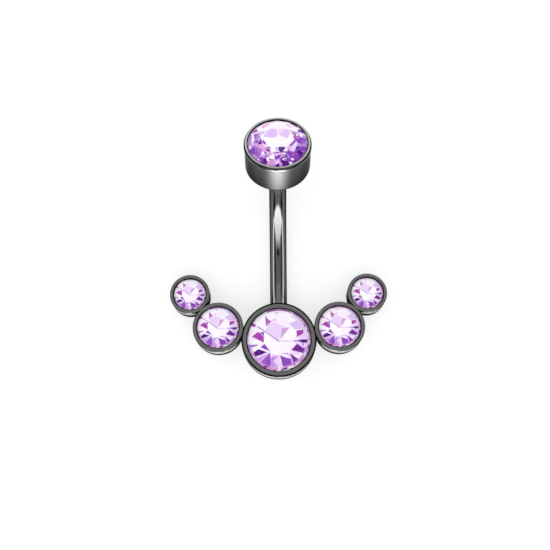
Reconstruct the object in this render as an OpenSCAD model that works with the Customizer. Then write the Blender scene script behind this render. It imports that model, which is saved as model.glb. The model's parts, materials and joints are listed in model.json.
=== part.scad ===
// Curved navel bar with a fan of five stones in cups at its foot and a screw-on stone cup at its top.
// Sizes are in millimetres. The ring is drawn in its own upright frame, with X across the fan, Y up along
// the bar and Z out of the stones' faces, and is then laid on its back as it rests on a table.

/* [Bar] */
// Diameter of the bar
bar_d = 1.6; // [1.2:0.1:1.8]
// Radius of the bar's bend, to its centre line
bend_r = 10.65; // [10:0.05:13]
// Angle that the bar turns through between the fan and the top cup
bend_deg = 79.5; // [70:0.5:84]
// Angle that the bar leans back where it leaves the fan
root_lean_deg = 7; // [3:0.5:8]
// Depth of the bar's centre line behind the rims of the fan, where it leaves it
bar_drop = 1.15; // [1.05:0.05:1.25]

/* [Fan of cups] */
// Outside diameter of the large cup
large_cup_d = 7; // [6.8:0.1:8]
// Outside diameter of each medium cup
medium_cup_d = 4.72; // [4.5:0.02:5.2]
// Outside diameter of each small cup
small_cup_d = 3.72; // [3.5:0.02:4]
// Depth of the fan's cups, from rim to back
cup_depth = 2.1; // [2:0.05:2.4]
// Angle of the medium cups above the line across the large cup
medium_rise_deg = 12; // [6:1:16]
// Angle of the small cups above the line across the medium cups
small_rise_deg = 50; // [42:1:54]
// How far soldered cups run into each other
solder_bite = 0.06; // [0.04:0.01:0.14]
// How far the bar's foot is let into the large cup's wall
root_bite = 0.3; // [0.22:0.01:0.34]

/* [Top cup] */
// Outside diameter of the top cup
top_cup_d = 5.9; // [5.8:0.1:6.6]
// Height of the top cup
top_cup_h = 3.15; // [2.9:0.05:3.5]
// Height of the collar round the top cup's rim
collar_h = 0.45; // [0.3:0.05:0.7]
// How far the collar stands out from the cup's side
collar_step = 0.05; // [0.02:0.01:0.08]

/* [Rims] */
// Width of the bevel inside the rims of the fan
bevel_w = 0.1; // [0.05:0.01:0.12]
// Width of the bevel inside the top cup's rim
top_bevel_w = 0.07; // [0.05:0.01:0.1]
// Depth of the bevel inside the rims of the fan
bevel_h = 0.18; // [0.12:0.01:0.24]
// Depth of the bevel inside the top cup's rim
top_bevel_h = 0.06; // [0.04:0.01:0.12]
// Width of the chamfer outside the rims of the fan
chamfer_w = 0.06; // [0.03:0.01:0.1]
// Height of the chamfer outside the rims of the fan
chamfer_h = 0.08; // [0.04:0.01:0.14]
// Width of the chamfer outside the top cup's rim
top_chamfer_w = 0.1; // [0.05:0.01:0.14]
// Height of the chamfer outside the top cup's rim
top_chamfer_h = 0.18; // [0.1:0.01:0.24]
// Radius of the rounded edge round each cup's back
back_edge_r = 0.3; // [0.15:0.01:0.4]

/* [Stones] */
// Girdle diameter of the large stone
large_stone_d = 6; // [5.6:0.05:6.1]
// Girdle diameter of each medium stone
medium_stone_d = 4; // [3.8:0.05:4.05]
// Girdle diameter of each small stone
small_stone_d = 3.1; // [2.8:0.05:3.1]
// Girdle diameter of the top stone
top_stone_d = 5.35; // [5.1:0.05:5.4]
// Height of the girdle band of every stone
girdle_h = 0.12; // [0.08:0.01:0.18]
// How far each rim covers the edge of its stone
lip_cover = 0.06; // [0.04:0.01:0.08]
// Thickness of the lip that holds the stone, at its inner edge
lip_edge = 0.04; // [0.03:0.01:0.08]
// Clearance round a stone in its cup
stone_clear = 0.03; // [0.02:0.01:0.04]

/* [Screw of the top cup] */
// Diameter of the threaded stud
stud_d = 1; // [0.8:0.05:1]
// Length of the stud inside the bar
stud_in_bar = 1.15; // [0.9:0.05:1.4]
// Length of the stud inside the top cup
stud_in_cup = 1.1; // [0.9:0.05:1.15]
// Radial and end clearance of the stud in its bores
stud_clear = 0.03; // [0.02:0.01:0.05]
// Gap between the bar's end and the top cup's back
seat_gap = 0.03; // [0.02:0.01:0.05]

/* [Hidden] */
$fn = 96;
METAL = [0.33, 0.34, 0.34];
GEM = [0.72, 0.5, 0.88];
LEFT = -1;
RIGHT = 1;

// Shape of a stone, as shares of its girdle diameter
CROWN_SHARE = 0.11;
PAVILION_SHARE = 0.2;
// Rings of a stone's corners, as shares of its girdle radius
TABLE_SHARE = 0.53;
STAR_SHARE = 0.77;
KEEL_SHARE = 0.84;
CULET_SHARE = 0.2;
SIDES = 8;
STEP_DEG = 360 / SIDES;
// Slope allowed for the crown under a rim's lip
CROWN_SLOPE_DEG = 35;

large_r = large_cup_d / 2;
medium_r = medium_cup_d / 2;
small_r = small_cup_d / 2;
top_r = top_cup_d / 2;
bar_r = bar_d / 2;

// Centres of the medium and small cups on the right hand side
medium_x = (large_r + medium_r - solder_bite) * cos(medium_rise_deg);
medium_y = (large_r + medium_r - solder_bite) * sin(medium_rise_deg);
small_x = medium_x + (medium_r + small_r - solder_bite) * cos(small_rise_deg);
small_y = medium_y + (medium_r + small_r - solder_bite) * sin(small_rise_deg);

// Bend of the bar: its foot, its centre and its end, in the plane of Y and Z
root_y = large_r - root_bite;
bend_y = root_y + bend_r * sin(root_lean_deg);
bend_z = bend_r * cos(root_lean_deg) - bar_drop;
end_deg = bend_deg - root_lean_deg;
end_y = bend_y + bend_r * sin(end_deg);
end_z = bend_z - bend_r * cos(end_deg);

// Resting place: the backs of the small cups and the bar's belly share one tangent line
heel_y = small_y + small_r - back_edge_r;
heel_z = back_edge_r - cup_depth;
belly_r = bend_r + bar_r;
reach = norm([bend_y - heel_y, bend_z - heel_z]);
rest_deg = acos((belly_r - back_edge_r) / reach) - atan2(bend_y - heel_y, bend_z - heel_z);
floor_drop = heel_y * sin(rest_deg) - heel_z * cos(rest_deg) + back_edge_r;

// Middle of the laid ring's length
top_lean_deg = end_deg - rest_deg;
foot_y = large_r - back_edge_r;
foot_z = cup_depth - back_edge_r;
foot_reach = foot_y * cos(rest_deg) + foot_z * sin(rest_deg) + back_edge_r;
top_back_y = end_y * cos(rest_deg) + end_z * sin(rest_deg) + seat_gap * cos(top_lean_deg);
edge_reach = (top_cup_h - top_chamfer_h) * cos(top_lean_deg) + top_r * sin(top_lean_deg);
rim_reach = top_cup_h * cos(top_lean_deg) + (top_r - top_chamfer_w) * sin(top_lean_deg);
middle_y = (top_back_y + max(edge_reach, rim_reach) - foot_reach) / 2;

// Lays the upright ring on its back, with its middle over the origin
module laid() {
    translate([0, -middle_y, floor_drop])
        rotate([-rest_deg, 0, 0])
            children();
}

// Turns a shape that stands on +Z into line with the bar's end
module on_bar_end() {
    translate([0, end_y, end_z]) rotate([end_deg - 90, 0, 0]) children();
}

// Height of a corner ring that keeps each eight-sided stone's kite facets flat
function kite_h(inner_r, outer_r, ring_r, inner_h, outer_h) =
    inner_h + (ring_r * cos(STEP_DEG / 2) - inner_r) * (outer_h - inner_h) / (outer_r - inner_r);

// Depth of the girdle's top below a rim that is bevelled inside to a given depth
function girdle_depth(bevel_down) =
    bevel_down + lip_edge + stone_clear + lip_cover * tan(CROWN_SLOPE_DEG);

function crown_h(d) = CROWN_SHARE * d;

function pavilion_h(d) = PAVILION_SHARE * d;

// Depth of the ring of corners under the girdle, below the girdle's lower edge
function keel_h(d) = -kite_h(CULET_SHARE * d / 2, d / 2, KEEL_SHARE * d / 2, -pavilion_h(d), 0);

// Ring of corners at one height, the first at angle start
function ring(r, h, start, sides = SIDES) =
    [for (i = [0:sides - 1]) [r * cos(start + i * 360 / sides), r * sin(start + i * 360 / sides), h]];

// The same face with its corners listed clockwise, as the solid's faces are given
function turned(face) = [for (k = [len(face) - 1:-1:0]) face[k]];

// Half section of a cup from its rim down, and its seat cut to the stone's shape
module cup_section(r, side_r, depth, stone_d, bevel, bevel_down, chamfer, chamfer_down, collar) {
    stone_r = stone_d / 2;
    mouth_r = stone_r - lip_cover;
    seat_r = stone_r + stone_clear;
    girdle_low = girdle_depth(bevel_down) + girdle_h;
    difference() {
        polygon([
            [mouth_r, -bevel_down],
            [mouth_r + bevel, 0],
            [r - chamfer, 0],
            [r, -chamfer_down],
            [r, -collar],
            [side_r, -collar - (r - side_r)],
            [side_r, -depth],
            [0, -depth],
            [0, -girdle_low - pavilion_h(stone_d) - stone_clear],
            [CULET_SHARE * stone_r + stone_clear, -girdle_low - pavilion_h(stone_d) - stone_clear],
            [KEEL_SHARE * stone_r + stone_clear, -girdle_low - keel_h(stone_d) - stone_clear],
            [seat_r, -girdle_low - stone_clear],
            [seat_r, -bevel_down - lip_edge],
            [mouth_r, -bevel_down - lip_edge]
        ]);
        translate([side_r - back_edge_r, -depth]) difference() {
            square([2 * back_edge_r, back_edge_r]);
            translate([0, back_edge_r]) circle(r = back_edge_r);
        }
    }
}

// One cup of the fan, its rim at Z = 0 and its back below
module fan_cup(d, stone_d) {
    rotate_extrude()
        cup_section(
            d / 2, d / 2, cup_depth, stone_d,
            bevel_w, bevel_h, chamfer_w, chamfer_h, chamfer_h
        );
}

// Eight-sided brilliant, the top edge of its girdle at Z = 0
module stone(d) {
    r = d / 2;
    table_r = TABLE_SHARE * r;
    star_r = STAR_SHARE * r;
    keel_r = KEEL_SHARE * r;
    culet_r = CULET_SHARE * r;
    half = STEP_DEG / 2;
    points = concat(
        ring(table_r, crown_h(d), 0),
        ring(star_r, kite_h(table_r, r, star_r, crown_h(d), 0), half),
        ring(r, 0, 0, 2 * SIDES),
        ring(r, -girdle_h, 0, 2 * SIDES),
        ring(keel_r, -girdle_h - keel_h(d), half),
        ring(culet_r, -girdle_h - pavilion_h(d), 0)
    );
    star = SIDES;
    upper = 2 * SIDES;
    lower = 4 * SIDES;
    keel = 6 * SIDES;
    culet = 7 * SIDES;
    // Facets of one side after another, their corners listed anticlockwise as seen from outside
    facets = [
        for (i = [0:SIDES - 1])
            let (j = (i + 1) % SIDES, corner = 2 * i, mid = corner + 1, next = 2 * j)
                each [
                    [i, star + i, j],
                    [j, star + i, upper + next, star + j],
                    [star + i, upper + corner, upper + mid],
                    [star + i, upper + mid, upper + next],
                    [upper + corner, lower + corner, lower + mid, upper + mid],
                    [upper + mid, lower + mid, lower + next, upper + next],
                    [keel + i, lower + mid, lower + corner],
                    [keel + i, lower + next, lower + mid],
                    [culet + j, keel + j, lower + next, keel + i],
                    [culet + i, culet + j, keel + i]
                ]
    ];
    table = [for (i = [0:SIDES - 1]) i];
    tip = [for (i = [SIDES - 1:-1:0]) culet + i];
    polyhedron(points, [for (face = concat(facets, [table, tip])) turned(face)]);
}

// Stone in a cup whose rim is at Z = 0 and is bevelled inside to a given depth
module seated_stone(d, bevel_down) {
    color(GEM) translate([0, 0, -girdle_depth(bevel_down)]) stone(d);
}

module bar() {
    translate([0, bend_y, bend_z])
        rotate([0, 90, 0])
            rotate([0, 0, -root_lean_deg])
                rotate_extrude(angle = bend_deg) translate([bend_r, 0]) circle(d = bar_d);
}

// Bore in the bar's end for the stud
module stud_bore() {
    on_bar_end()
        translate([0, 0, -stud_in_bar - stud_clear])
            cylinder(d = stud_d + 2 * stud_clear, h = 2 * stud_in_bar);
}

module barbell() {
    color(METAL) laid() {
        fan_cup(large_cup_d, large_stone_d);
        for (side = [LEFT, RIGHT]) {
            translate([side * medium_x, medium_y, 0]) fan_cup(medium_cup_d, medium_stone_d);
            translate([side * small_x, small_y, 0]) fan_cup(small_cup_d, small_stone_d);
        }
        difference() {
            bar();
            stud_bore();
        }
    }
}

module centre_stone() {
    laid() seated_stone(large_stone_d, bevel_h);
}

module inner_stone(side) {
    laid() translate([side * medium_x, medium_y, 0]) seated_stone(medium_stone_d, bevel_h);
}

module outer_stone(side) {
    laid() translate([side * small_x, small_y, 0]) seated_stone(small_stone_d, bevel_h);
}

module thread_stud() {
    stud_h = stud_in_bar + seat_gap + stud_in_cup;
    color(METAL) laid() on_bar_end() translate([0, 0, -stud_in_bar]) cylinder(d = stud_d, h = stud_h);
}

module top_cup() {
    color(METAL) laid() on_bar_end() translate([0, 0, seat_gap]) difference() {
        translate([0, 0, top_cup_h])
            rotate_extrude()
                cup_section(
                    top_r, top_r - collar_step, top_cup_h, top_stone_d,
                    top_bevel_w, top_bevel_h, top_chamfer_w, top_chamfer_h, collar_h
                );
        translate([0, 0, -stud_in_cup])
            cylinder(d = stud_d + 2 * stud_clear, h = 2 * stud_in_cup + stud_clear);
    }
}

module top_stone() {
    laid() on_bar_end()
        translate([0, 0, seat_gap + top_cup_h])
            seated_stone(top_stone_d, top_bevel_h);
}

barbell();
centre_stone();
inner_stone(LEFT);  // left_inner_stone
inner_stone(RIGHT);  // right_inner_stone
outer_stone(LEFT);  // left_outer_stone
outer_stone(RIGHT);  // right_outer_stone
thread_stud();
top_cup();
top_stone();
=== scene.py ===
"""Shapes, finishes, light and camera of a navel ring.

The ring is a curved bar with a fan of five stone cups at its foot and a screw-on stone cup at its top.
Lengths are in metres and angles in degrees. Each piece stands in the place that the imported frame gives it.
"""

import json
import logging
import math
from dataclasses import dataclass
from enum import Enum
from typing import Iterable

import bmesh
import bpy
from mathutils import Matrix, Vector


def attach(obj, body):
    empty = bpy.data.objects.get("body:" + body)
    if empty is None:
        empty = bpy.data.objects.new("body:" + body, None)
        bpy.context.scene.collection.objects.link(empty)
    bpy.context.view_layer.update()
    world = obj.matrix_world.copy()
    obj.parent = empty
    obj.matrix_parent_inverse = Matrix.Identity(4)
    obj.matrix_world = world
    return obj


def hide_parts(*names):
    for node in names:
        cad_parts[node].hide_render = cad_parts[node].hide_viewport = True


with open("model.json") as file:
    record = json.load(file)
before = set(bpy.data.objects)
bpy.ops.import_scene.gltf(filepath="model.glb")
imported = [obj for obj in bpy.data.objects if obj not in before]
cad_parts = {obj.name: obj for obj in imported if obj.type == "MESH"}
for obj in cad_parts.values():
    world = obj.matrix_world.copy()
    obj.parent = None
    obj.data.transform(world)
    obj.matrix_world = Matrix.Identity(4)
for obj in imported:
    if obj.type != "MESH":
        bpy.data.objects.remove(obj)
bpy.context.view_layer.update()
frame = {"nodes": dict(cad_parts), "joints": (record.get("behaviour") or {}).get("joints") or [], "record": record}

MM = 0.001
X = Vector((1.0, 0.0, 0.0))
Z = Vector((0.0, 0.0, 1.0))
ORIGIN = Vector((0.0, 0.0, 0.0))
FULL_TURN = 2 * math.pi
# Points nearer to each other than this are made one
WELD = 0.0005 * MM

# The layers in which a mesh keeps each point's place on its own stone or turned cup, and its depth inside
# the outer edge of a cup's rim, in millimetres
PLACE_LAYER = "own_place"
EDGE_LAYER = "from_edge"

log = logging.getLogger("navel_ring")


# ---------------------------------------------------------------- shader sums


class Wire:
    """A shader output that takes part in Python sums; each sum adds the node it needs."""

    def __init__(self, bench: "Bench", socket: bpy.types.NodeSocket) -> None:
        """Keeps the output and the bench it is on.

        Args:
            bench: The node tree's bench.
            socket: The output socket.
        """
        self.bench = bench
        self.socket = socket

    def __add__(self, other: "Wire | float") -> "Wire":
        """Returns self + other."""
        return self.bench.math("ADD", self, other)

    __radd__ = __add__

    def __sub__(self, other: "Wire | float") -> "Wire":
        """Returns self - other."""
        return self.bench.math("SUBTRACT", self, other)

    def __rsub__(self, other: float) -> "Wire":
        """Returns other - self."""
        return self.bench.math("SUBTRACT", other, self)

    def __mul__(self, other: "Wire | float") -> "Wire":
        """Returns self * other."""
        return self.bench.math("MULTIPLY", self, other)

    def __truediv__(self, other: "Wire | float") -> "Wire":
        """Returns self / other."""
        return self.bench.math("DIVIDE", self, other)

    def clamped(self) -> "Wire":
        """Returns the value held between 0 and 1."""
        return self.bench.math("ADD", self, 0.0, clamp=True)

    def least(self, other: "Wire | float") -> "Wire":
        """Returns the smaller of two values."""
        return self.bench.math("MINIMUM", self, other)

    def size(self) -> "Wire":
        """Returns the value without its sign."""
        return self.bench.math("ABSOLUTE", self, 0.0)

    def along(self, direction: Iterable[float]) -> "Wire":
        """Returns a vector's reach along a direction.

        Args:
            direction: Three numbers.

        Returns:
            The dot product.
        """
        inputs = {0: self, 1: tuple(direction)}
        return self.bench.wire("ShaderNodeVectorMath", {"operation": "DOT_PRODUCT"}, inputs, "Value")

    def times(self, factors: Iterable[float]) -> "Wire":
        """Returns a vector with each part multiplied.

        Args:
            factors: Three numbers.

        Returns:
            The stretched vector.
        """
        inputs = {0: self, 1: tuple(factors)}
        return self.bench.wire("ShaderNodeVectorMath", {"operation": "MULTIPLY"}, inputs, "Vector")

    def length(self) -> "Wire":
        """Returns a vector's length."""
        return self.bench.wire("ShaderNodeVectorMath", {"operation": "LENGTH"}, {0: self}, "Value")


class Bench:
    """One node tree, and the one way in which nodes are put on it."""

    def __init__(self, tree: bpy.types.NodeTree) -> None:
        """Clears the tree.

        Args:
            tree: The node tree of a material, light or world.
        """
        self.tree = tree
        tree.nodes.clear()

    @classmethod
    def for_material(cls, name: str) -> "tuple[bpy.types.Material, Bench]":
        """Makes a material and the bench for its nodes.

        Args:
            name: The material's name.

        Returns:
            The material and its bench.
        """
        material = bpy.data.materials.new(name)
        material.use_nodes = True
        return material, cls(material.node_tree)

    def node(self, kind: str, settings: dict | None = None, inputs: dict | None = None) -> bpy.types.Node:
        """Adds a node.

        Args:
            kind: The node's type.
            settings: Its settings.
            inputs: Values or wires, by socket name or number.

        Returns:
            The node.
        """
        node = self.tree.nodes.new(kind)
        for name, value in (settings or {}).items():
            setattr(node, name, value)
        for key, value in (inputs or {}).items():
            if isinstance(value, Wire):
                self.tree.links.new(value.socket, node.inputs[key])
            else:
                node.inputs[key].default_value = value
        return node

    def wire(self, kind: str, settings: dict, inputs: dict, output: str | int = 0) -> Wire:
        """Adds a node and returns one of its outputs.

        Args:
            kind: The node's type.
            settings: Its settings.
            inputs: Values or wires, by socket name or number.
            output: The output's name or number.

        Returns:
            The output.
        """
        return Wire(self, self.node(kind, settings, inputs).outputs[output])

    def math(self, operation: str, first: Wire | float, second: Wire | float, clamp: bool = False) -> Wire:
        """Adds a Math node.

        Args:
            operation: What it does.
            first: Its first value.
            second: Its second value.
            clamp: Whether the result is held between 0 and 1.

        Returns:
            The result.
        """
        settings = {"operation": operation, "use_clamp": clamp}
        return self.wire("ShaderNodeMath", settings, {0: first, 1: second})

    def blend(self, share: Wire | float, low: "Wire | tuple", high: "Wire | tuple") -> Wire:
        """Mixes two colours.

        Args:
            share: The second colour's share.
            low: The first colour.
            high: The second colour.

        Returns:
            The mixed colour.
        """
        return self.wire("ShaderNodeMix", {"data_type": "RGBA"}, {0: share, 6: low, 7: high}, 2)

    def noise(self, place: Wire, scale: float, detail: float) -> Wire:
        """Adds a noise pattern.

        Args:
            place: The coordinates it reads.
            scale: Its spots per metre, or per unit of the coordinates.
            detail: How many finer layers it has.

        Returns:
            The pattern, from 0 to 1.
        """
        inputs = {"Vector": place, "Scale": scale, "Detail": detail}
        return self.wire("ShaderNodeTexNoise", {}, inputs, "Fac")

    def finish(self, shader: bpy.types.Node, kind: str = "ShaderNodeOutputMaterial") -> None:
        """Joins a shader to the tree's output.

        Args:
            shader: The last shader node.
            kind: The output node's type.
        """
        self.node(kind, {}, {"Surface": Wire(self, shader.outputs[0])})


# ---------------------------------------------------------------- finishes


def linear(red: int, green: int, blue: int) -> tuple[float, float, float, float]:
    """Turns a screen colour into the linear colour that shaders take.

    Args:
        red: Red, from 0 to 255.
        green: Green, from 0 to 255.
        blue: Blue, from 0 to 255.

    Returns:
        The colour, with full alpha.
    """
    parts = [(c / 255 / 12.92) if c <= 10 else ((c / 255 + 0.055) / 1.055) ** 2.4 for c in (red, green, blue)]
    return (*parts, 1.0)


def grey(level: int) -> tuple[float, float, float, float]:
    """Turns a screen grey into the linear colour that shaders take."""
    return linear(level, level, level)


def linear_grey(level: float) -> tuple[float, float, float, float]:
    """Returns the grey of a linear level, with full alpha."""
    return (level, level, level, 1.0)


# Scales of the metal's patterns: the first two in spots per metre, the turning marks in rings per millimetre
CLOUD_SCALE, GRAIN_SCALE, TURNING_SCALE = 420.0, 9000.0, 30.0
# A length in millimetres beyond all of a cup's, for a range that is open at one end
FAR = 9.0
# Softness of the metal's painted-highlight band and of its dull zone, in millimetres
SHINE_SOFTNESS, DULL_SOFTNESS = 0.4, 0.3
# The radius in millimetres from which a cup has a painted dark line of shade round its rim
LINE_FROM = 2.6
# Heights in millimetres just under a rim's flat face: the top of its bevel's painted shade, and the foot of its
# painted dark line
BEVEL_TOP, LINE_LOW = -0.012, -0.03
# Depths in millimetres inside a cup's edge: how far in its painted highlights reach, and where its inner bevel's
# own painted shade starts
SHINE_TO, INNER_FROM = 0.12, 0.2
# The share of a wall's change to its lower tone that comes with each millimetre down: painted shade, darker
# towards the bottom
WALL_FADE = 0.33
# The least cosine, from the middle of a wall's front, at which the front carries its painted highlight
SHINE_FRONT = 0.62


@dataclass(frozen=True)
class Gunmetal:
    """Dark plated steel: a nearly black mirror, with painted highlights of bright steel at the corner of each
    cup's rim and on the front of its wall, and painted shade in each rim's bevel, groove and dark line and down
    its walls.

    The tones are screen greys. The heights are in millimetres above a cup's rim, and the depths are in
    millimetres inside its edge.
    """

    name: str
    tone: int
    shade: int
    roughness: float
    marks: float
    # The fields from here on set painted light: painted shade in each rim's bevel, groove and dark line and down
    # each wall, and painted highlights of bright steel at each rim's corner and on each wall's front
    bevel_low: float
    corner: tuple[float, float]
    band: tuple[float, float]
    band_shine: float
    dark_edge: float
    side: int
    low_side: int
    groove: int
    small_groove: int
    bevel_tone: int
    corner_from: float
    edge_shine: float
    low_dullness: float
    shine_tone: int = 225
    band_tone: int = 150

    @staticmethod
    def between(value: Wire, low: float, high: float, softness: float = 1 / 60) -> Wire:
        """Masks the values between two limits, with soft ends of a given width."""
        return ((value - low).least(high - value) / softness + 0.5).clamped()

    def colour(self, bench: Bench, own: Wire, inside: Wire, cloud: Wire) -> Wire:
        """Colours the plating, with painted shade: its walls, darker towards the bottom, and the dark bevel,
        groove and line of each rim.

        Args:
            bench: The material's bench.
            own: The place on the cup, in millimetres.
            inside: The depth inside the cup's edge, in millimetres.
            cloud: The plating's clouds.

        Returns:
            The colour.
        """
        height = own.along((0.0, 0.0, 1.0))
        reach = own.times((1.0, 1.0, 0.0)).length()
        # Painted shade: the wall below the rim takes its own tone, darker towards the bottom
        side = bench.blend((height * -WALL_FADE).clamped(), grey(self.side), grey(self.low_side))
        flat = bench.blend(cloud, grey(self.shade), grey(self.tone))
        colour = bench.blend(self.between(height, -FAR, self.band[1]), flat, side)
        # Painted shade in each rim's bevel, chamfer and dark line, with its own tone on the inner bevel
        bevel = self.between(height, self.bevel_low, BEVEL_TOP)
        wide = ((reach - LINE_FROM) * 2.0).clamped()
        line = self.between(inside, -FAR, self.dark_edge) * self.between(height, LINE_LOW, FAR) * wide
        groove = bench.blend(wide, grey(self.small_groove), grey(self.groove))
        colour = bench.blend((bevel + line).clamped(), colour, groove)
        return bench.blend(bevel * self.between(inside, INNER_FROM, FAR), colour, grey(self.bevel_tone))

    def painted_shine_share(self, own: Wire, inside: Wire, turned: Wire) -> Wire:
        """Masks the painted highlights of bright steel: a line at the corner of each rim, and a band on the front
        of each wall.

        Args:
            own: The place on the cup, in millimetres.
            inside: The depth inside the cup's edge, in millimetres.
            turned: The turning marks.

        Returns:
            The share of painted highlight.
        """
        height = own.along((0.0, 0.0, 1.0))
        reach = own.times((1.0, 1.0, 0.0)).length()
        front = own.along((0.0, -1.0, 0.0)) / reach
        # Painted highlight: the band shows only on the front of each wall, in place of a reflection of the lamps
        front_shine = ((front - SHINE_FRONT) * 6.0).clamped() * (self.band_shine + (turned - 0.5) * 0.2)
        beside = (own.along((1.0, 0.0, 0.0)).size() - self.corner_from).clamped()
        corner = self.between(height, *self.corner) * beside
        band = self.between(height, *self.band, softness=SHINE_SOFTNESS) * front_shine
        return ((corner + band) * self.between(inside, -FAR, SHINE_TO)).clamped()

    def material(self) -> bpy.types.Material:
        """Builds the material.

        Returns:
            The material.
        """
        material, bench = Bench.for_material(self.name)
        place = bench.wire("ShaderNodeTexCoord", {}, {}, "Object")
        cloud = bench.noise(place, CLOUD_SCALE, 3.0)
        grain = bench.noise(place, GRAIN_SCALE, 2.0)
        own = bench.wire("ShaderNodeAttribute", {"attribute_name": PLACE_LAYER}, {}, "Vector")
        inside = bench.wire("ShaderNodeAttribute", {"attribute_name": EDGE_LAYER}, {}, "Fac")
        height = own.along((0.0, 0.0, 1.0))
        turned = bench.noise(own.times((0.0, 0.0, 1.0)), TURNING_SCALE, 3.0)
        relief = turned * self.marks + grain * 0.15
        dull = self.between(height, -FAR, self.band[0] - 0.15, DULL_SOFTNESS) * self.low_dullness
        plated = bench.node("ShaderNodeBsdfPrincipled", {}, {
            "Base Color": self.colour(bench, own, inside, cloud),
            "Metallic": 1.0 - dull,
            "Roughness": self.roughness + (cloud - 0.5) * 0.04 + (grain - 0.5) * 0.03,
            "Specular Tint": linear_grey(self.edge_shine),
            "Specular IOR Level": 0.0,
            "Normal": bench.wire(
                "ShaderNodeBump", {}, {"Strength": 0.1, "Distance": 0.000004, "Height": relief}
            ),
        })
        # The bright steel of the painted highlights, with its own tone at the rim's corner and in the wall's band
        around = self.between(height, *self.band, softness=SHINE_SOFTNESS)
        steel = bench.node("ShaderNodeBsdfPrincipled", {}, {
            "Base Color": bench.blend(around, grey(self.shine_tone), grey(self.band_tone)),
            "Metallic": 1.0,
            "Roughness": 0.3 + (grain - 0.5) * 0.05,
        })
        bench.finish(bench.node("ShaderNodeMixShader", {}, {
            0: self.painted_shine_share(own, inside, turned),
            1: Wire(bench, plated.outputs[0]),
            2: Wire(bench, steel.outputs[0]),
        }))
        return material


class Tint(Enum):
    """The tones that a lilac stone shows: its own lilac, and its painted reflections."""

    WHITE = (251, 246, 254)
    PALE = (232, 208, 246)
    LILAC = (198, 148, 230)
    ROSE = (232, 156, 222)
    MAGENTA = (170, 68, 176)
    PURPLE = (138, 68, 184)
    PLUM = (114, 40, 148)
    DEEP = (84, 22, 128)


WHITE, PALE, LILAC, ROSE, MAGENTA, PURPLE, PLUM, DEEP = Tint
Spot = tuple[float, float]


@dataclass(frozen=True)
class Glint:
    """A painted reflection of the stone's back facets: a patch in one tone on its front.

    The corners are in hundredths of the stone's radius from its middle, listed anticlockwise.
    """

    tint: Tint
    corners: tuple[Spot, ...]
    strength: float = 1.0

    def mask(self, place: Wire, softness: float) -> Wire:
        """Builds the patch's mask.

        Args:
            place: The place on the stone, in its radii.
            softness: Width of the patch's soft edge, in stone radii.

        Returns:
            The mask, from 0 to the patch's strength.
        """
        inside = None
        corners = [(x / 100, y / 100) for x, y in self.corners]
        for (x0, y0), (x1, y1) in zip(corners, corners[1:] + corners[:1]):
            reach = math.hypot(x1 - x0, y1 - y0) * softness
            across = ((y0 - y1) / reach, (x1 - x0) / reach, 0.0)
            depth = place.along(across) - (across[0] * x0 + across[1] * y0)
            inside = depth if inside is None else inside.least(depth)
        return (inside + 0.5).clamped() * self.strength


@dataclass(frozen=True)
class RimGlint:
    """A painted reflection: an arc in one tone along the stone's edge, between two angles in degrees.

    Its radii are in hundredths of the stone's radius.
    """

    tint: Tint
    start: float
    end: float
    inner: float
    outer: float
    strength: float = 1.0

    def mask(self, place: Wire, softness: float) -> Wire:
        """Builds the arc's mask.

        Args:
            place: The place on the stone, in its radii.
            softness: Width of the arc's soft edge, in stone radii.

        Returns:
            The mask, from 0 to the arc's strength.
        """
        middle = math.radians((self.start + self.end) / 2)
        half = math.cos(math.radians((self.end - self.start) / 2))
        radius = place.times((1.0, 1.0, 0.0)).length()
        ahead = place.along((math.cos(middle), math.sin(middle), 0.0)) / radius - half
        band = (radius - self.inner / 100).least(self.outer / 100 - radius)
        return (band.least(ahead) / softness + 0.5).clamped() * self.strength


@dataclass(frozen=True)
class Shards:
    """Painted reflections: splinters of tone in a ring on the stone, thickest towards one side.

    Its radii are in stone radii. Each tint has the splinters whose chance lies in its range. The cells that
    they are cut from are stretched inwards.
    """

    inner: float
    outer: float
    fineness: float
    toward: Spot
    reach: float
    tints: tuple[tuple[float, float, Tint], ...]
    stretch: float = 1.9
    edge_sharpness: float = 60.0

    def laid(self, bench: Bench, place: Wire, colour: Wire) -> Wire:
        """Lays the splinters over a colour.

        Args:
            bench: The material's bench.
            place: The place on the stone, in its radii.
            colour: The colour under them.

        Returns:
            The colour with the splinters.
        """
        turn = bench.math("ARCTAN2", place.along((0.0, 1.0, 0.0)), place.along((1.0, 0.0, 0.0)))
        out = place.times((1.0, 1.0, 0.0)).length()
        wedge = bench.wire("ShaderNodeCombineXYZ", {}, {0: turn, 1: out * self.stretch, 2: 0.0})
        cells = {"Vector": wedge, "Scale": self.fineness, "Randomness": 0.9}
        chance = bench.wire("ShaderNodeTexVoronoi", {}, cells, "Color").along((1.0, 0.0, 0.0))
        ring = ((out - self.inner).least(self.outer - out) * 30.0).clamped()
        zone = ring * ((place.along((*self.toward, 0.0)) + self.reach) * 4.0).clamped()
        for low, high, tint in self.tints:
            share = ((chance - low).least(high - chance) * self.edge_sharpness).clamped() * zone
            colour = bench.blend(share, colour, linear(*tint.value))
        return colour


FAN_CROWN_SHARDS = (
    Shards(0.50, 0.90, 3.8, (0.0, -1.0), 0.1, ((0.18, 0.5, PALE), (0.62, 0.86, LILAC))),
)
FAN_EDGE_SHARDS = (
    Shards(0.87, 0.98, 9.0, (0.5, -0.85), 0.2, (
        (0.0, 0.2, WHITE), (0.3, 0.42, ROSE), (0.5, 0.62, MAGENTA), (0.7, 0.82, PLUM),
    )),
)
TOP_SHARDS = (
    Shards(0.50, 0.98, 4.6, (0.0, -1.0), 0.45, (
        (0.1, 0.2, ROSE), (0.2, 0.48, LILAC), (0.54, 0.86, PURPLE), (0.86, 1.0, DEEP),
    )),
    Shards(0.56, 0.98, 9.0, (0.0, -1.0), 0.45, (
        (0.0, 0.12, WHITE), (0.12, 0.2, DEEP), (0.5, 0.6, LILAC),
    )),
)
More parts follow.
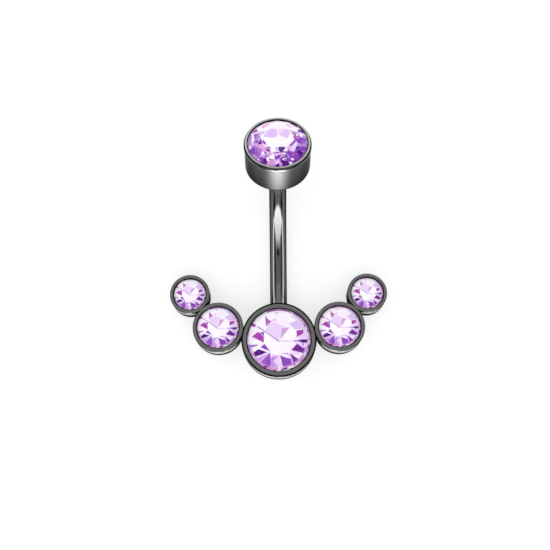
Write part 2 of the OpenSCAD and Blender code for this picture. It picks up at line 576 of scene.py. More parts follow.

# The painted reflections that the five stones of the fan show, seen from the front
FAN_GLINTS = (
    Glint(PALE, ((-2, -7), (8, 8), (17, 36), (-10, 52), (-30, 46), (-42, 28))),
    Glint(MAGENTA, ((4, -3), (33, 36), (11, 33)), 0.6),
    Glint(LILAC, ((0, -9), (48, -8), (48, -6), (0, -6)), 0.7),
    Glint(PURPLE, ((-1, -10), (1, -6), (-66, 43), (-68, 39)), 0.65),
    Glint(MAGENTA, ((42, -7), (49, -10), (55, -7), (49, -4)), 0.8),
    Glint(MAGENTA, ((-42, 76), (-40, 38), (-33, 62))),
    Glint(MAGENTA, ((-38, 39), (-22, 55), (-34, 64)), 0.9),
    Glint(ROSE, ((-24, 57), (-8, 56), (-10, 66), (-18, 62)), 0.7),
    Glint(PALE, ((-8, 72), (1, 87), (-14, 87))),
    Glint(MAGENTA, ((-88, 47), (-76, 39), (-70, 45), (-80, 54))),
    Glint(MAGENTA, ((-84, 10), (-47, -12), (-46, 6), (-58, 20), (-66, 23))),
    Glint(PURPLE, ((-58, 22), (-46, 8), (-46, 22))),
    Glint(PURPLE, ((-98, -16), (-95, -26), (-64, -19), (-66, -16)), 0.9),
    Glint(LILAC, ((-97, -20), (-87, -46), (-82, -42), (-88, -20))),
    Glint(PURPLE, ((-58, -25), (-27, -39), (-44, -16))),
    Glint(DEEP, ((-90, -47), (-80, -52), (-60, -49), (-36, -41), (-64, -30))),
    Glint(PALE, ((-80, -54), (-64, -76), (-40, -46))),
    Glint(LILAC, ((-32, -41), (-74, -64), (-64, -74))),
    Glint(PURPLE, ((-27, -41), (-44, -56), (-62, -74), (-35, -84), (-26, -78)), 0.95),
    Glint(LILAC, ((-30, -84), (-2, -93), (-6, -78), (-22, -68)), 0.8),
    Glint(PURPLE, ((-21, -66), (-6, -52), (-5, -49), (-20, -60)), 0.8),
    Glint(LILAC, ((-24, -72), (0, -52), (-14, -58))),
    Glint(PURPLE, ((3, -52), (11, -84), (36, -91), (43, -88), (33, -61))),
    Glint(LILAC, ((4, -45), (29, -50), (27, -43)), 0.9),
    Glint(PLUM, ((32, -44), (46, -74), (62, -63))),
    Glint(PLUM, ((37, -35), (76, -43), (81, -32), (56, -15))),
    Glint(PALE, ((58, -1), (95, 4), (90, 36), (80, 36))),
    Glint(DEEP, ((50, -6), (75, -11), (96, -10), (97, 2), (76, -1))),
    Glint(MAGENTA, ((55, 5), (74, 17), (80, 32), (54, 26))),
    Glint(LILAC, ((31, 47), (50, 29), (84, 34), (78, 47), (61, 62)), 0.6),
    Glint(PALE, ((-30, -86), (-6, -66), (0, -92))),
    RimGlint(MAGENTA, 66, 113, 92, 97),
    RimGlint(PURPLE, 46, 64, 93, 97),
    RimGlint(PALE, -60, 50, 88, 93),
    RimGlint(MAGENTA, 4, 50, 94, 96.5, 0.9),
    RimGlint(LILAC, -48, 4, 90, 97, 0.8),
    RimGlint(PURPLE, -30, 0, 95, 98, 0.8),
    RimGlint(MAGENTA, -60, -26, 87, 89, 0.7),
    RimGlint(ROSE, -62, -30, 90, 94, 0.8),
    RimGlint(MAGENTA, -62, -34, 95, 97, 0.7),
    RimGlint(ROSE, -132, -96, 88, 98, 0.8),
    RimGlint(MAGENTA, -126, -112, 93, 98, 0.7),
    RimGlint(ROSE, -88, -64, 84, 90, 0.7),
    RimGlint(LILAC, -58, -6, 83, 90, 0.5),
    RimGlint(PALE, 6, 62, 80, 93, 0.8),
    RimGlint(LILAC, 188, 238, 90, 98, 0.6),
    RimGlint(PURPLE, 150, 172, 95, 98, 0.5),
)

# The painted reflections that the top stone shows, seen from the front of the ring
TOP_GLINTS = (
    Glint(PURPLE, ((-97, -10), (-72, -6), (-62, 24), (-90, 40)), 0.7),
    Glint(PURPLE, ((-94, -30), (-62, -66), (-46, -40), (-72, -16)), 0.8),
    Glint(PURPLE, ((70, -20), (98, -22), (100, 16), (86, 34), (66, 20)), 0.7),
    Glint(PALE, ((-46, 12), (-20, 4), (-1, 10), (-1, 42), (-24, 46), (-40, 30)), 1.0),
    Glint(LILAC, ((-46, 12), (-1, 10), (-1, 42), (-20, 46)), 0.45),
    Glint(PALE, ((3, 20), (14, 10), (32, 2), (42, 24), (32, 44), (3, 42))),
    Glint(LILAC, ((3, 20), (32, 4), (40, 26), (30, 42)), 0.35),
    Glint(WHITE, ((-84, -14), (-74, 6), (-77, 36), (-85, 38)), 0.75),
    Glint(MAGENTA, ((-86, 40), (-64, 42), (-68, 62))),
    Glint(ROSE, ((-50, 52), (-24, 70), (-30, 82), (-52, 66)), 0.9),
    Glint(ROSE, ((-68, -20), (-28, -62), (-32, -50), (-50, -16)), 0.95),
    Glint(PURPLE, ((-50, -14), (-36, -26), (-38, -12), (-48, 0))),
    Glint(PURPLE, ((-38, -28), (-27, -56), (-22, -32)), 0.8),
    Glint(LILAC, ((-12, -36), (1, -52), (1, -32)), 0.8),
    Glint(DEEP, ((2, -32), (3, -48), (11, -55), (25, -38), (21, -31))),
    Glint(DEEP, ((17, -66), (28, -68), (34, -62))),
    Glint(ROSE, ((-34, -86), (-16, -90), (-4, -74), (-24, -74)), 0.8),
    Glint(DEEP, ((-56, -80), (-36, -88), (-30, -78)), 0.8),
    Glint(LILAC, ((-28, -93), (-8, -97), (-10, -88)), 0.9),
    Glint(DEEP, ((-8, -97), (6, -98), (1, -84))),
    Glint(DEEP, ((7, -78), (20, -97), (37, -92), (33, -78))),
    Glint(PURPLE, ((34, -62), (58, -50), (98, -28), (98, -16), (80, -18), (58, -38))),
    Glint(DEEP, ((58, -46), (70, -54), (83, -46), (70, -36))),
    Glint(PURPLE, ((38, -80), (52, -72), (82, -60), (62, -76))),
    Glint(PURPLE, ((36, -26), (42, -30), (55, -12), (56, 0))),
    Glint(PALE, ((36, -44), (52, -46), (66, -12), (60, -8))),
    Glint(ROSE, ((26, -34), (32, -44), (42, -32), (38, -26)), 0.8),
    Glint(WHITE, ((72, 20), (80, 18), (84, 34), (72, 34))),
    Glint(MAGENTA, ((52, 2), (61, 6), (61, 20), (52, 36)), 0.9),
    Glint(PURPLE, ((63, 40), (88, 38), (83, 54), (70, 58))),
    Glint(ROSE, ((36, 80), (62, 62), (66, 66), (42, 86)), 0.8),
    Glint(LILAC, ((28, 66), (44, 52), (44, 60), (32, 74)), 0.7),
    RimGlint(ROSE, 98, 112, 90, 98),
    RimGlint(DEEP, 48, 60, 92, 98, 0.8),
    RimGlint(LILAC, 116, 180, 93, 98, 0.7),
    RimGlint(PURPLE, 184, 226, 93, 98, 0.7),
    RimGlint(PURPLE, 300, 340, 93, 98, 0.8),
)


@dataclass(frozen=True)
class LilacStone:
    """A foiled lilac stone: pale, with painted reflections as glints in deeper tones under a glossy front, and a
    faint painted glow.
    """

    name: str
    glints: tuple[Glint | RimGlint, ...]
    softness: float
    under: tuple[Shards, ...]
    over: tuple[Shards, ...] = ()
    glow: float = 0.1
    clouds: float = 2.4
    streaks: float = 9.0

    def material(self) -> bpy.types.Material:
        """Builds the material.

        Returns:
            The material.
        """
        material, bench = Bench.for_material(self.name)
        place = bench.wire("ShaderNodeAttribute", {"attribute_name": PLACE_LAYER}, {}, "Vector")
        cloud = bench.noise(place, self.clouds, 2.0)
        streak = bench.noise(place, self.streaks, 3.0)
        colour = bench.blend((cloud - 0.42) * 1.2, linear(*WHITE.value), linear(*PALE.value))
        for shards in self.under:
            colour = shards.laid(bench, place, colour)
        for glint in self.glints:
            share = glint.mask(place, self.softness) * (0.9 + streak * 0.2)
            colour = bench.blend(share.clamped(), colour, linear(*glint.tint.value))
        for shards in self.over:
            colour = shards.laid(bench, place, colour)
        # The emission is painted light: the stone glows faintly in its own colours though it is no lamp
        shader = bench.node("ShaderNodeBsdfPrincipled", {}, {
            "Base Color": colour,
            "Roughness": 0.06,
            "Specular IOR Level": 0.04,
            "Emission Color": colour,
            "Emission Strength": self.glow,
        })
        bench.finish(shader)
        return material


@dataclass(frozen=True)
class MattePaper:
    """The pale sheet that the ring lies on, a little lit from behind."""

    name: str = "pale_sheet"
    tone: tuple[int, int, int] = (178, 178, 179)
    glow: float = 0.64
    fibres: float = 2500.0

    def material(self) -> bpy.types.Material:
        """Builds the material.

        Returns:
            The material.
        """
        material, bench = Bench.for_material(self.name)
        place = bench.wire("ShaderNodeTexCoord", {}, {}, "Object")
        fibre = bench.noise(place, self.fibres, 4.0)
        normal = bench.wire("ShaderNodeBump", {}, {"Strength": 0.05, "Distance": 0.00002, "Height": fibre})
        shader = bench.node("ShaderNodeBsdfPrincipled", {}, {
            "Base Color": linear(*self.tone),
            "Roughness": 0.9,
            "Specular IOR Level": 0.1,
            "Emission Color": linear_grey(1.0),
            "Emission Strength": self.glow,
            "Normal": normal,
        })
        bench.finish(shader)
        return material


# ---------------------------------------------------------------- shapes


@dataclass(frozen=True)
class Place:
    """Where a turned piece stands: its middle, its axis and its girdle's radius."""

    middle: Vector
    axis: Vector
    radius: float

    @property
    def matrix(self) -> Matrix:
        """The matrix from the piece's own place to the frame, with its X along the frame's X."""
        up = self.axis.cross(X).normalized()
        turn = Matrix((X, up, self.axis)).transposed().to_4x4()
        return Matrix.Translation(self.middle) @ turn

    def raised(self, height: float) -> "Place":
        """Returns the place moved along its axis by a height."""
        return Place(self.middle + self.axis * height, self.axis, self.radius)


def fan_normal() -> Vector:
    """Returns the direction that the fan's stones face, against the fan's back as the record gives it."""
    mounts = {mount["name"]: mount for mount in frame["record"]["mounts"]}
    return -Vector(mounts["cup_back"]["axis"]).normalized()


def joint(name: str) -> dict:
    """Returns one of the frame's joints by its name."""
    return next(each for each in frame["joints"] if each["name"] == name)


def measured(node: str, axis: Vector, crown_share: float) -> Place:
    """Measures a stone in the frame.

    Args:
        node: The stone's node.
        axis: The direction that it faces.
        crown_share: Height of its crown, as a share of its girdle diameter.

    Returns:
        The place of the top of its girdle.
    """
    points = [vertex.co for vertex in frame["nodes"][node].data.vertices]
    up = axis.cross(X).normalized()
    middle = Vector()
    for direction in (X, up):
        reach = [point.dot(direction) for point in points]
        middle += direction * (min(reach) + max(reach)) / 2
        radius = (max(reach) - min(reach)) / 2
    table = max(point.dot(axis) for point in points)
    return Place(middle + axis * (table - 2 * radius * crown_share), axis, radius)


def corner_ring(mesh: bmesh.types.BMesh, radius: float, height: float) -> list[bmesh.types.BMEdge]:
    """Finds the edges round a turned corner.

    Args:
        mesh: The mesh, turned round its Z axis.
        radius: The corner's radius.
        height: The corner's height.

    Returns:
        The edges.
    """
    near = 0.002 * MM
    on_ring = {
        vertex for vertex in mesh.verts
        if abs(vertex.co.z - height) < near and abs(vertex.co.xy.length - radius) < near
    }
    return [edge for edge in mesh.edges if all(vertex in on_ring for vertex in edge.verts)]


def turned(profile: list[tuple[float, float]], steps: int) -> bmesh.types.BMesh:
    """Turns a profile round the Z axis.

    Args:
        profile: Radius and height of its corners, from the axis round and back to it, or in a loop.
        steps: Steps in a full turn.

    Returns:
        The closed shape.
    """
    mesh = bmesh.new()
    corners = [mesh.verts.new((radius, 0.0, height)) for radius, height in profile]
    pairs = list(zip(corners, corners[1:]))
    if profile[0][0] > 0:
        pairs.append((corners[-1], corners[0]))
    lines = [mesh.edges.new(pair) for pair in pairs]
    bmesh.ops.spin(
        mesh, geom=corners + lines, cent=ORIGIN, axis=Z, angle=FULL_TURN, steps=steps, use_merge=True
    )
    bmesh.ops.remove_doubles(mesh, verts=mesh.verts, dist=WELD)
    bmesh.ops.recalc_face_normals(mesh, faces=mesh.faces)
    return mesh


def rounded(mesh: bmesh.types.BMesh, edges: list[bmesh.types.BMEdge], width: float, segments: int) -> None:
    """Rounds edges.

    Args:
        mesh: The mesh.
        edges: The edges.
        width: How far the rounding reaches.
        segments: How many faces it has across.
    """
    bmesh.ops.bevel(
        mesh, geom=edges, offset=width, offset_type="OFFSET", affect="EDGES", segments=segments,
        profile=0.5, material=-1, clamp_overlap=True,
    )


def keep_own_place(mesh: bmesh.types.BMesh, unit: float, radius: float) -> None:
    """Writes each point's place on its own piece into the mesh, before the piece is put where it stands.

    Args:
        mesh: The mesh, still at its own origin.
        unit: The length that counts as one.
        radius: Radius from which the depth inside the piece's edge is taken.
    """
    place = mesh.verts.layers.float_vector.new(PLACE_LAYER)
    edge = mesh.verts.layers.float.new(EDGE_LAYER)
    for vertex in mesh.verts:
        vertex[place] = vertex.co / unit
        vertex[edge] = (radius - vertex.co.xy.length) / MM


def added(whole: bmesh.types.BMesh, part: bmesh.types.BMesh, matrix: Matrix) -> None:
    """Puts a part into a larger mesh.

    Args:
        whole: The larger mesh.
        part: The part, which is freed.
        matrix: Where the part goes.
    """
    bmesh.ops.transform(part, matrix=matrix, verts=part.verts)
    carrier = bpy.data.meshes.new("carrier")
    part.to_mesh(carrier)
    part.free()
    whole.from_mesh(carrier)
    bpy.data.meshes.remove(carrier)


def shown(mesh: bmesh.types.BMesh, name: str, material: bpy.types.Material) -> bpy.types.Object:
    """Puts a mesh into the scene.

    Args:
        mesh: The finished mesh, which is freed.
        name: The object's name.
        material: Its material.

    Returns:
        The object.
    """
    data = bpy.data.meshes.new(name)
    mesh.to_mesh(data)
    mesh.free()
    data.materials.append(material)
    thing = bpy.data.objects.new(name, data)
    bpy.context.scene.collection.objects.link(thing)
    return thing


def as_piece(
    mesh: bmesh.types.BMesh, name: str, node: str, body: str,
    material: bpy.types.Material, smooth: bool,
) -> bpy.types.Object:
    """Makes a mesh a piece that stands for a node of the frame.

    Args:
        mesh: The finished mesh, which is freed.
        name: The piece's name.
        node: The node it stands for.
        body: The body it moves with.
        material: Its material.
        smooth: Whether its faces run into each other.

    Returns:
        The piece.
    """
    for face in mesh.faces:
        face.smooth = smooth
    piece = shown(mesh, name, material)
    if smooth:
        even = piece.modifiers.new("even_shine", "WEIGHTED_NORMAL")
        even.weight = 60
        even.keep_sharp = True
    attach(piece, body)
    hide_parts(node)
    log.info("%s: %d faces, on %s for %s", name, len(piece.data.polygons), body, node)
    return piece


@dataclass
class StoneCut:
    """A round brilliant with eight sides, cut like the frame's stones. Shares are of its girdle radius."""

    node: str
    body: str
    axis: Vector
    turn: float = 22.5
    table_share: float = 0.53
    star_share: float = 0.77
    keel_share: float = 0.84
    culet_share: float = 0.2
    crown_share: float = 0.11
    pavilion_share: float = 0.2
    girdle: float = 0.12 * MM
    worn_edge: float = 0.012 * MM

    def __post_init__(self) -> None:
        """Finds the stone's place in the frame."""
        self.place = measured(self.node, self.axis, self.crown_share)

    def flat_height(self, inner: float, outer: float, share: float, high: float, low: float) -> float:
        """Gives the height of a corner that keeps its kite facet flat.

        Args:
            inner: The kite's inner corner, as a share of the radius.
            outer: The kite's outer corner.
            share: The side corner.
            high: Height of the inner corner.
            low: Height of the outer corner.

        Returns:
            The side corner's height.
        """
        reach = share * math.cos(math.pi / 8) - inner
        return high + reach * (low - high) / (outer - inner)

    def build(self, material: bpy.types.Material) -> bpy.types.Object:
        """Cuts the stone.

        Args:
            material: Its material.

        Returns:
            The piece.
        """
        radius = self.place.radius
        crown, pavilion = 2 * radius * self.crown_share, 2 * radius * self.pavilion_share
        star = self.flat_height(self.table_share, 1.0, self.star_share, crown, 0.0)
        keel = self.flat_height(self.culet_share, 1.0, self.keel_share, -pavilion, 0.0)
        rings = (
            (8, self.table_share, 0.0, crown),
            (8, self.star_share, 22.5, star),
            (16, 1.0, 0.0, 0.0),
            (16, 1.0, 0.0, -self.girdle),
            (8, self.keel_share, 22.5, keel - self.girdle),
            (8, self.culet_share, 0.0, -pavilion - self.girdle),
        )
        mesh = bmesh.new()
        for sides, share, start, height in rings:
            turn = Matrix.Rotation(math.radians(start + self.turn - 90), 4, "Z")
            bmesh.ops.create_circle(
                mesh, cap_ends=False, radius=share * radius, segments=sides,
                matrix=Matrix.Translation((0, 0, height)) @ turn,
            )
        hull = bmesh.ops.convex_hull(mesh, input=mesh.verts)
        spare = {item for item in hull["geom_interior"] + hull["geom_unused"] if item.is_valid}
        bmesh.ops.delete(mesh, geom=[vertex for vertex in mesh.verts if vertex in spare], context="VERTS")
        bmesh.ops.dissolve_limit(
            mesh, angle_limit=math.radians(0.6), verts=mesh.verts, edges=mesh.edges, delimit=set()
        )
        bmesh.ops.recalc_face_normals(mesh, faces=mesh.faces)
        rounded(mesh, mesh.edges[:], self.worn_edge, 1)
        keep_own_place(mesh, radius, radius)
        bmesh.ops.transform(mesh, matrix=self.place.matrix, verts=mesh.verts)
        name = f"{self.node}_cut"
        return as_piece(mesh, name, self.node, self.body, material, smooth=False)


@dataclass
class Cup:
    """A turned cup that holds one stone, with its rim at height 0."""

    radius: float
    depth: float
    stone: StoneCut
    bevel: float = 0.10 * MM
    bevel_depth: float = 0.18 * MM
    chamfer: float = 0.06 * MM
    chamfer_depth: float = 0.08 * MM
    collar: float = 0.08 * MM
    collar_step: float = 0.0
    back_round: float = 0.30 * MM
    lip_cover: float = 0.06 * MM
    lip_edge: float = 0.04 * MM
    clearance: float = 0.03 * MM
    crown_room: float = 0.042 * MM
    polish: float = 0.022 * MM
    bore: float = 0.0
    bore_depth: float = 0.0
    steps: int = 144

    @property
    def girdle_depth(self) -> float:
        """Depth of the top of the stone's girdle below the rim."""
        return self.bevel_depth + self.lip_edge + self.clearance + self.crown_room

    @property
    def place(self) -> Place:
        """Where the middle of the cup's rim is."""
        return self.stone.place.raised(self.girdle_depth)

    def shape(self) -> bmesh.types.BMesh:
        """Turns the cup at its own origin.

        Returns:
            The mesh.
        """
        stone, side = self.stone, self.radius - self.collar_step
        girdle = stone.place.radius
        mouth = girdle - self.lip_cover
        seat = girdle + self.clearance
        low = self.girdle_depth + stone.girdle + self.clearance
        floor = low + 2 * girdle * stone.pavilion_share
        inside = [
            (0.0, -floor),
            (girdle * stone.culet_share + self.clearance, -floor),
            (seat, -low),
            (seat, -self.bevel_depth - self.lip_edge),
            (mouth, -self.bevel_depth - self.lip_edge),
            (mouth, -self.bevel_depth),
        ]
        rim = [(mouth + self.bevel, 0.0), (self.radius - self.chamfer, 0.0)]
        outside = [(self.radius, -self.chamfer_depth)]
        if self.collar_step:
            outside += [(self.radius, -self.collar), (side, -self.collar - self.collar_step)]
        back = [(side, -self.depth), (self.bore, -self.depth)]
        if self.bore:
            back += [(self.bore, -self.depth + self.bore_depth), (0.0, -self.depth + self.bore_depth)]
        mesh = turned(inside + rim + outside + back, self.steps)
        for radius, height in rim + outside:
            rounded(mesh, corner_ring(mesh, radius, height), self.polish, 3)
        rounded(mesh, corner_ring(mesh, side, -self.depth), self.back_round, 8)
        keep_own_place(mesh, MM, self.radius)
        return mesh


@dataclass
class Bar:
    """The bent bar, from its foot in the large cup to its bored end under the top cup."""

    end: Vector
    end_axis: Vector
    radius: float = 0.8 * MM
    bend: float = 10.65 * MM
    angle: float = 79.5
    bore: float = 0.53 * MM
    bore_depth: float = 1.18 * MM
    sides: int = 64
    steps: int = 120

    def shape(self) -> bmesh.types.BMesh:
        """Bends the bar in its place.

        Returns:
            The mesh.
        """
        towards = X.cross(self.end_axis).normalized()
        matrix = Place(self.end, self.end_axis, self.radius).matrix
        mesh = bmesh.new()
        bmesh.ops.create_circle(mesh, cap_ends=True, radius=self.radius, segments=self.sides, matrix=matrix)
        if mesh.faces[:][0].normal.dot(self.end_axis) < 0:
            bmesh.ops.reverse_faces(mesh, faces=mesh.faces)
        mouth = mesh.faces[:][0]
        bmesh.ops.inset_region(mesh, faces=[mouth], thickness=self.radius - self.bore, use_even_offset=True)
        hole = min(mesh.faces, key=lambda face: max((v.co - self.end).length for v in face.verts))
        bottom = bmesh.ops.extrude_discrete_faces(mesh, faces=[hole])["faces"][0]
        bmesh.ops.translate(mesh, verts=bottom.verts[:], vec=-self.end_axis * self.bore_depth)
        outline = [edge for edge in mesh.edges if edge.is_boundary]
        centre = self.end + towards * self.bend
        bmesh.ops.spin(
            mesh, geom=outline, cent=centre, axis=X, angle=-math.radians(self.angle),
            steps=self.steps, use_merge=False,
        )
        bmesh.ops.holes_fill(mesh, edges=[edge for edge in mesh.edges if edge.is_boundary], sides=0)
        bmesh.ops.remove_doubles(mesh, verts=mesh.verts, dist=WELD)
        bmesh.ops.recalc_face_normals(mesh, faces=mesh.faces)
        self.keep_length(mesh, centre)
        return mesh

    def keep_length(self, mesh: bmesh.types.BMesh, centre: Vector) -> None:
        """Writes each point's place round and along the bar into the mesh.

        Args:
            mesh: The bar.
            centre: The centre of its bend.
        """
        place = mesh.verts.layers.float_vector.new(PLACE_LAYER)
        edge = mesh.verts.layers.float.new(EDGE_LAYER)
        for vertex in mesh.verts:
            arm = vertex.co - centre
            along = self.bend * math.atan2(arm.y, -arm.z)
            round_it = math.atan2(vertex.co.x, arm.yz.length - self.bend)
            vertex[place] = (round_it * self.radius / MM, along / MM, 0.0)
            vertex[edge] = self.bend / MM


@dataclass
class Fan:
    """The soldered piece: the bar and the five cups at its foot, with their stones."""

    bar: Bar
    normal: Vector
    depth: float = 2.1 * MM

    def __post_init__(self) -> None:
        """Sets the cups round their stones."""
        self.cups = [
            Cup(radius, self.depth, StoneCut(node, "bar", self.normal))
            for node, radius in (
                ("centre_stone", 3.50 * MM),
                ("left_inner_stone", 2.36 * MM),
                ("right_inner_stone", 2.36 * MM),
                ("left_outer_stone", 1.86 * MM),
                ("right_outer_stone", 1.86 * MM),
            )
        ]

    def build(self, metal: bpy.types.Material, stones: dict[str, bpy.types.Material]) -> None:
        """Builds the soldered piece and its stones.

        Args:
            metal: The metal's finish.
            stones: The finish of each stone, by its node.
        """
        whole = self.bar.shape()
        for cup in self.cups:
            added(whole, cup.shape(), cup.place.matrix)
        as_piece(whole, "barbell_metal", "barbell", "bar", metal, smooth=True)
        for cup in self.cups:
            cup.stone.build(stones[cup.stone.node])


@dataclass
class ScrewStud:
    """The threaded stud that joins the bar and the top cup."""

    end: Vector
    axis: Vector
    radius: float = 0.5 * MM
    root: float = 0.38 * MM
    pitch: float = 0.25 * MM
    below: float = 1.15 * MM
    above: float = 1.13 * MM
    steps: int = 48

    def build(self, metal: bpy.types.Material) -> None:
        """Cuts the thread.

        Args:
            metal: The metal's finish.
        """
        mesh = bmesh.new()
        # The thread runs on past both ends, where it is then cut flat
        teeth = round((self.below + self.above) / self.pitch) + 3
        low = -self.below - 1.5 * self.pitch
        profile = []
        for tooth in range(teeth):
            foot = low + tooth * self.pitch
            profile += [(self.root, foot), (self.radius, foot + self.pitch / 2)]
        corners = [mesh.verts.new((radius, 0.0, height)) for radius, height in profile]
        lines = [mesh.edges.new(pair) for pair in zip(corners, corners[1:])]
        lift = Z * (self.pitch / self.steps)
        bmesh.ops.spin(
            mesh, geom=corners + lines, cent=ORIGIN, axis=Z, dvec=lift, angle=FULL_TURN,
            steps=self.steps, use_merge=False,
        )
        bmesh.ops.remove_doubles(mesh, verts=mesh.verts, dist=2 * WELD)
        for height, facing in ((-self.below, -Z), (self.above, Z)):
            geometry = mesh.verts[:] + mesh.edges[:] + mesh.faces[:]
            cut = bmesh.ops.bisect_plane(
                mesh, geom=geometry, plane_co=Z * height, plane_no=facing, clear_outer=True
            )
            rim = [item for item in cut["geom_cut"] if isinstance(item, bmesh.types.BMEdge)]
            bmesh.ops.edgeloop_fill(mesh, edges=rim)
        bmesh.ops.recalc_face_normals(mesh, faces=mesh.faces)
        keep_own_place(mesh, MM, self.radius + MM)
        place = Place(self.end, self.axis, self.radius)
        bmesh.ops.transform(mesh, matrix=place.matrix, verts=mesh.verts)
        as_piece(mesh, "thread_stud_cut", "thread_stud", "stud", metal, smooth=False)


@dataclass
class TopCup:
    """The screw-on cup at the bar's end, with its stone."""

    axis: Vector
    radius: float = 2.95 * MM
    depth: float = 3.15 * MM

    def __post_init__(self) -> None:
        """Sets the cup round its stone."""
        self.cup = Cup(
            self.radius, self.depth, StoneCut("top_stone", "top", self.axis, turn=0.0),
            bevel=0.07 * MM, bevel_depth=0.06 * MM, chamfer=0.10 * MM, chamfer_depth=0.18 * MM,
            collar=0.45 * MM, collar_step=0.05 * MM, bore=0.53 * MM, bore_depth=1.13 * MM,
        )

    def build(self, metal: bpy.types.Material, stone: bpy.types.Material) -> None:
        """Builds the cup and its stone.

        Args:
            metal: The metal's finish.
            stone: The stone's finish.
        """
        mesh = self.cup.shape()
        bmesh.ops.transform(mesh, matrix=self.cup.place.matrix, verts=mesh.verts)
        as_piece(mesh, "top_cup_metal", "top_cup", "top", metal, smooth=True)
        self.cup.stone.build(stone)


# ---------------------------------------------------------------- studio


def hung(azimuth: float, elevation: float, distance: float) -> Matrix:
    """Gives the place of a light or card that hangs round the ring and faces it.

    Args:
        azimuth: Degrees from the front, towards +X.
        elevation: Degrees above the sheet.
        distance: Metres from the frame's origin.

    Returns:
        The matrix.
    """
    turn, rise = math.radians(azimuth), math.radians(elevation)
    away = Vector((math.sin(turn) * math.cos(rise), -math.cos(turn) * math.cos(rise), math.sin(rise)))
    return Matrix.Translation(away * distance) @ away.to_track_quat("Z", "Y").to_matrix().to_4x4()


@dataclass(frozen=True)
class Panel:
    """A soft light, placed by its direction from the ring."""

    name: str
    azimuth: float
    elevation: float
    width: float
    height: float
    radiance: float
    lights_matte: bool
    shows_in_metal: bool
    distance: float = 0.16

    def build(self) -> None:
        """Hangs the light."""
        light = bpy.data.lights.new(self.name, "AREA")
        light.shape = "RECTANGLE"
        light.size, light.size_y = self.width, self.height
        light.energy = self.radiance * math.pi * self.width * self.height
        lamp = bpy.data.objects.new(self.name, light)
        lamp.matrix_world = hung(self.azimuth, self.elevation, self.distance)
        lamp.visible_camera = False
        lamp.visible_diffuse = self.lights_matte
        lamp.visible_glossy = self.shows_in_metal
        bpy.context.scene.collection.objects.link(lamp)


@dataclass(frozen=True)
class Card:
    """A card that shows only in the metal: a window of light that narrows upwards, or a black flag."""

    name: str
    azimuth: float
    elevation: float
    width: float
    height: float
    radiance: float = 0.0
    high_share: float = 1.0
    narrowing: float = 0.0
    distance: float = 0.15

    def material(self) -> bpy.types.Material:
        """Builds the material.

        Returns:
            The material.
        """
        material, bench = Bench.for_material(self.name)
        if not self.radiance:
            bench.finish(bench.node("ShaderNodeEmission", {}, {"Color": linear_grey(0.0)}))
            return material
        corner = bench.wire("ShaderNodeTexCoord", {}, {}, "UV")
        rise = corner.along((0.0, 1.0, 0.0))
        aside = (corner.along((2.0, 0.0, 0.0)) - 1.0).size()
        sides = (1.0 - rise * self.narrowing - aside) * 8.0
        foot, head = rise * 10.0, (1.0 - rise) * 4.0
        room = sides.least(foot).least(head).clamped()
        light = bench.blend(rise, linear_grey(1.0), linear_grey(self.high_share))
        lit = bench.node("ShaderNodeEmission", {}, {"Color": light, "Strength": self.radiance})
        clear = bench.node("ShaderNodeBsdfTransparent")
        bench.finish(bench.node("ShaderNodeMixShader", {}, {
            0: room, 1: Wire(bench, clear.outputs[0]), 2: Wire(bench, lit.outputs[0])
        }))
        return material

    def build(self) -> None:
        """Hangs the card."""
        size = Matrix.Diagonal((self.width / 2, self.height / 2, 1.0, 1.0))
        mesh = bmesh.new()
        mesh.loops.layers.uv.new("UVMap")
        matrix = hung(self.azimuth, self.elevation, self.distance) @ size
        bmesh.ops.create_grid(mesh, x_segments=1, y_segments=1, size=1.0, calc_uvs=True, matrix=matrix)
        card = shown(mesh, self.name, self.material())
        card.visible_camera = card.visible_diffuse = card.visible_shadow = False


@dataclass(frozen=True)
class Eye:
    """The camera: nearly overhead, a little on the top cup's side, as the photograph shows the fan."""

    distance: float = 75.0 * MM
    view_width: float = 50.93 * MM
    tip: float = 14.2
    roll: float = 0.48
    fan_right: float = 0.37 * MM
    fan_down: float = 5.97 * MM
    sensor: float = 36.0

    def build(self, rim: Place) -> None:
        """Sets up the camera.

        Args:
            rim: The middle of the large cup's rim.
        """
        fan = rim.matrix.to_3x3()
        roll = Matrix.Rotation(math.radians(self.roll), 3, "Z")
        tip = Matrix.Rotation(math.radians(-self.tip), 3, "X")
        turn = (roll @ tip @ fan.transposed()).transposed()
        offset = turn @ Vector((-self.fan_right, self.fan_down, self.distance))
        camera = bpy.data.cameras.new("camera")
        camera.sensor_fit = "HORIZONTAL"
        camera.sensor_width = self.sensor
        camera.lens = self.sensor * self.distance / self.view_width
        camera.clip_start, camera.clip_end = 0.001, 10.0
        eye = bpy.data.objects.new("camera", camera)
        eye.matrix_world = Matrix.Translation(rim.middle + offset) @ turn.to_4x4()
        bpy.context.scene.collection.objects.link(eye)
        bpy.context.scene.camera = eye


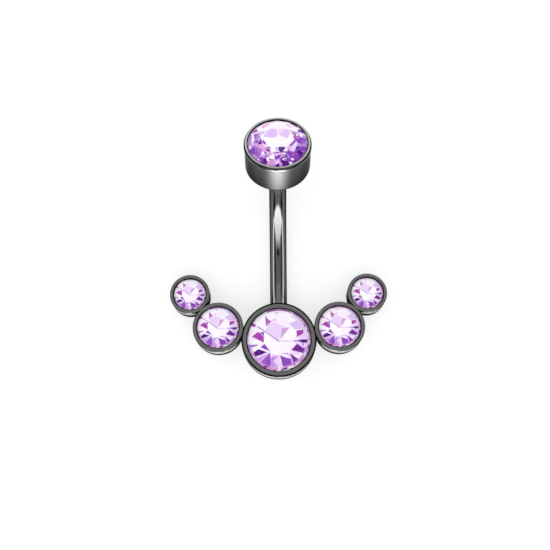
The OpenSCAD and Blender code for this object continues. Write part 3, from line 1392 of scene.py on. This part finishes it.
@dataclass
class Studio:
    """A pale sheet under soft light."""

    sheet_size: float = 1.6
    surround: float = 0.8
    panels: tuple[Panel, ...] = (
        Panel("overhead_soft", 0, 84, 0.22, 0.22, 0.45, True, False, 0.2),
        Panel("left_soft", -110, 40, 0.16, 0.16, 0.3, True, False, 0.2),
        Panel("right_strip", 88, 19, 0.19, 0.026, 7.0, False, True),
        Panel("left_strip", -88, 19, 0.19, 0.026, 7.0, False, True),
        Panel("back_strip", 180, 17, 0.24, 0.048, 6.0, False, True),
        Panel("back_ceiling", 180, 60, 0.16, 0.06, 0.4, False, True),
        Panel("front_sill", 0, 1.2, 0.045, 0.010, 290.0, False, True, 0.07),
    )
    cards: tuple[Card, ...] = (
        Card("front_window", 0, 50.5, 0.40, 0.132, 8.6, 0.35, 0.65),
        Card("overhead_flag", 0, 78, 0.08, 0.018),
        Card("right_flag", 92, 48, 0.16, 0.035),
        Card("left_flag", -92, 48, 0.16, 0.035),
        Card("front_right_flag", 42, 12, 0.05, 0.06),
        Card("front_left_flag", -42, 12, 0.05, 0.06),
    )

    def build(self) -> None:
        """Lays the sheet, hangs the lights and sets the surround."""
        mesh = bmesh.new()
        bmesh.ops.create_grid(mesh, x_segments=1, y_segments=1, size=self.sheet_size / 2)
        shown(mesh, "sheet", MattePaper().material())
        for panel in self.panels:
            panel.build()
        for card in self.cards:
            card.build()
        world = bpy.data.worlds.new("surround")
        world.use_nodes = True
        bench = Bench(world.node_tree)
        backdrop = bench.node(
            "ShaderNodeBackground", {}, {"Color": linear_grey(self.surround), "Strength": 1.0}
        )
        bench.finish(backdrop, "ShaderNodeOutputWorld")
        bpy.context.scene.world = world
        bpy.context.scene.view_settings.view_transform = "Standard"


# ---------------------------------------------------------------- the ring


def main() -> None:
    """Builds the ring, the studio and the camera."""
    logging.basicConfig(level=logging.INFO, format="%(name)s: %(message)s")
    polished = Gunmetal(
        "polished_gunmetal", tone=101, shade=94, roughness=0.11, marks=0.5, bevel_low=-0.4,
        corner=(-0.14, -0.085), band=(-0.82, -0.42), band_shine=1.0, dark_edge=0.16, side=64, low_side=56,
        groove=18, small_groove=36, bevel_tone=52, corner_from=-1.0, edge_shine=0.0, low_dullness=0.5,
    ).material()
    satin = Gunmetal(
        "satin_gunmetal", tone=97, shade=93, roughness=0.33, marks=0.8, bevel_low=-0.25,
        corner=(-0.30, -0.24), band=(-2.9, -0.19), band_shine=0.0, dark_edge=0.0, side=92, low_side=54,
        groove=28, small_groove=28, bevel_tone=28, corner_from=1.5, edge_shine=0.35, low_dullness=0.0,
    ).material()
    wide = LilacStone("wide_lilac_stone", FAN_GLINTS, 0.018, FAN_CROWN_SHARDS, FAN_EDGE_SHARDS).material()
    small = LilacStone("small_lilac_stone", FAN_GLINTS, 0.03, FAN_CROWN_SHARDS, FAN_EDGE_SHARDS).material()
    top = LilacStone("top_lilac_stone", TOP_GLINTS, 0.018, TOP_SHARDS).material()
    end = Vector(joint("top_turn")["pos_m"])
    end_axis = Vector(joint("top_turn")["axis"]).normalized()
    fan = Fan(Bar(end, end_axis), fan_normal())
    stones = {cup.stone.node: small for cup in fan.cups}
    stones["centre_stone"] = wide
    fan.build(polished, stones)
    ScrewStud(end, end_axis).build(polished)
    TopCup(end_axis).build(satin, top)
    Studio().build()
    Eye().build(fan.cups[0].place)


if __name__ == "__main__":
    main()
